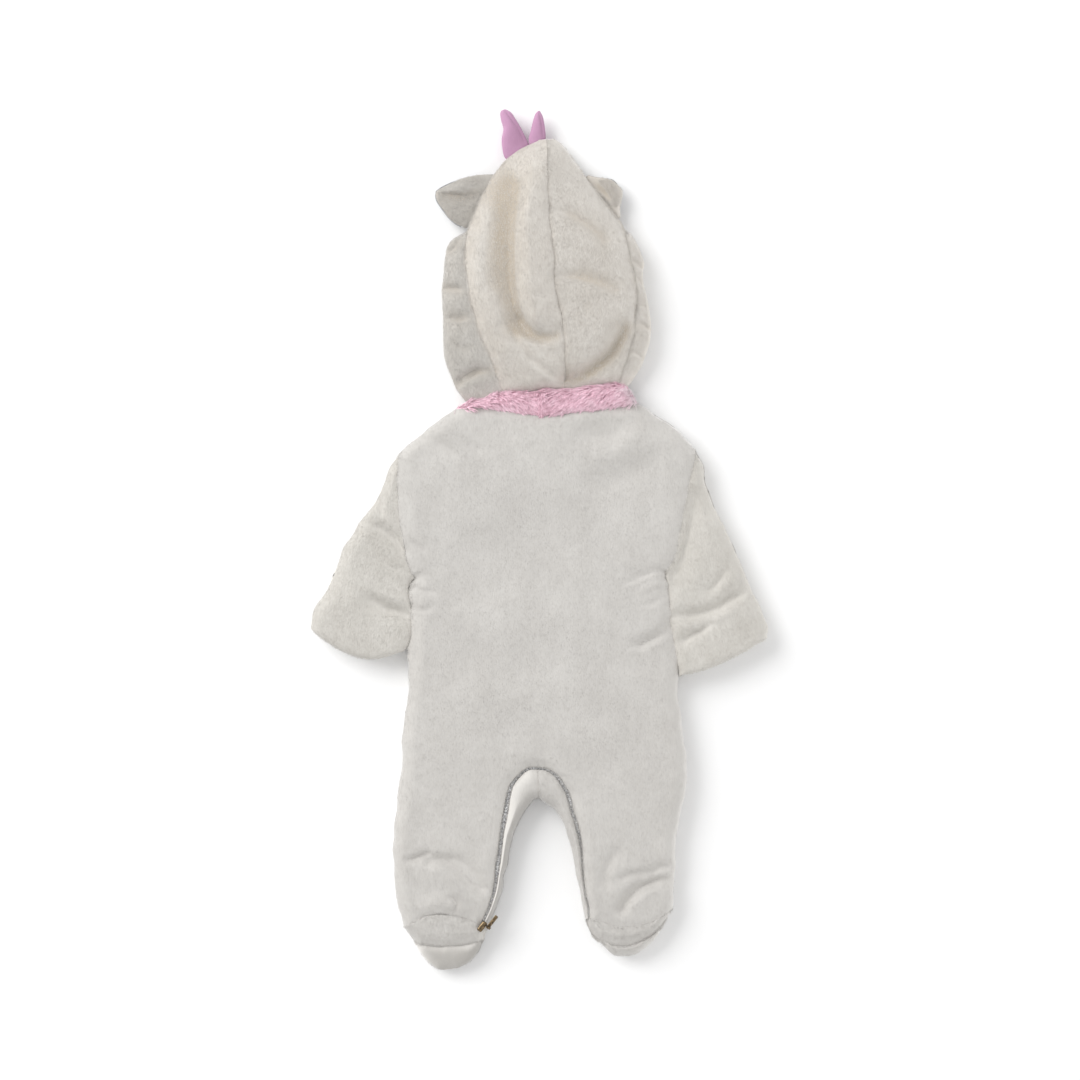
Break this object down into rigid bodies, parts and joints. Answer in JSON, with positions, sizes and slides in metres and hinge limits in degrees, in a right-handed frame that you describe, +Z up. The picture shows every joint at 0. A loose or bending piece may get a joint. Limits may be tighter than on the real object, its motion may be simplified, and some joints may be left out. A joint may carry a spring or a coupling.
{
  "type": "hooded footed sleepsuit",
  "caption": "Padded cream plush baby sleepsuit with hood, ears, pink collar and horn points, sleeves, feet and a leg-to-leg zip, laid face down.",
  "frame": {"origin": "middle of the bounding box, on the surface that the suit lies on", "axes": "+Z up, the back of the suit is on top; +Y towards the head; +X to the right as seen from above"},
  "size_m": [0.4348, 0.8195, 0.0536],
  "materials": {
    "plush": "soft cream plush with a short pile",
    "hood_plush": "soft warm cream plush with a short pile",
    "collar_pile": "long pink pile",
    "crest_velvet": "smooth pink velvet",
    "ear_lining": "thin silver-grey cloth",
    "zip": "fine silver-grey teeth on tape",
    "bronze": "dark polished bronze"
  },
  "bodies": {
    "suit": {"back": "plush", "front_left": "plush", "front_right": "plush", "sole_left": "plush", "sole_right": "plush", "sleeve_left": "plush", "sleeve_right": "plush", "hood_back_left": "hood_plush", "hood_back_right": "hood_plush", "hood_side_left": "hood_plush", "hood_side_right": "hood_plush", "ear_left": "hood_plush", "ear_right": "hood_plush", "ear_lining_left": "ear_lining", "ear_lining_right": "ear_lining", "crest_left": "crest_velvet", "crest_right": "crest_velvet", "collar": "collar_pile", "zip_tape": "zip", "zip_slider": "bronze"},
    "pull": {"zip_pull": "bronze"}
  },
  "joints": [
    {"name": "pull_hinge", "type": "hinge", "parent": "suit", "child": "pull", "pos_m": [-0.04921, -0.36666, 0.02889], "axis": [0.7826, -0.6225, 0], "range_deg": [0, 150]}
  ]
}
